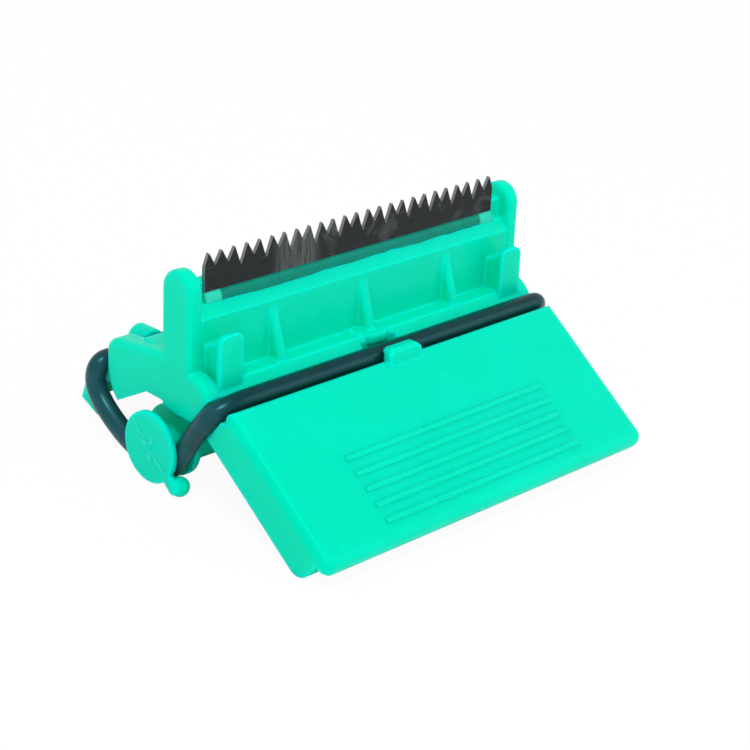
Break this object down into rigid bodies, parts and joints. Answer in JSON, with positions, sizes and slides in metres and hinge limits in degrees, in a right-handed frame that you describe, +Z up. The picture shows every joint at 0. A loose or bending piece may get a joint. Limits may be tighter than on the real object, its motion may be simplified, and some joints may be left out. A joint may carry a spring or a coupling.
{
  "type": "packing tape cutter",
  "caption": "Clip-on cutter for a roll of packing tape: toothed blade on a moulded saddle with a press plate, held to the roll by a core bar on a rubber loop.",
  "frame": {"origin": "bottom centre of the whole object at rest, where it stands on its skirt ends and end discs", "axes": "+X along the blade, +Y to the back, towards the rear arms, +Z up; the press plate slopes down towards -Y"},
  "size_m": [0.0644, 0.0484, 0.0297],
  "materials": {
    "green_plastic": "moulded turquoise green, satin gloss",
    "blade_steel": "dark tempered strip with bright ground teeth",
    "clear_glue": "clear and glossy over green plastic",
    "black_rubber": "smooth matte black rubber"
  },
  "bodies": {
    "saddle": {"saddle": "green_plastic", "blade": "blade_steel", "blade_bead": "clear_glue", "rubber_loop": "black_rubber"},
    "bar": {"core_bar": "green_plastic"}
  },
  "joints": [
    {"name": "bar_pull", "type": "slide", "parent": "bar", "child": "saddle", "axis": [0, 0.1577, 0.9875], "range_m": [0, 0.024], "stiffness_N_per_m": 300, "springref_m": -0.004, "deforming": ["rubber_loop"]}
  ]
}
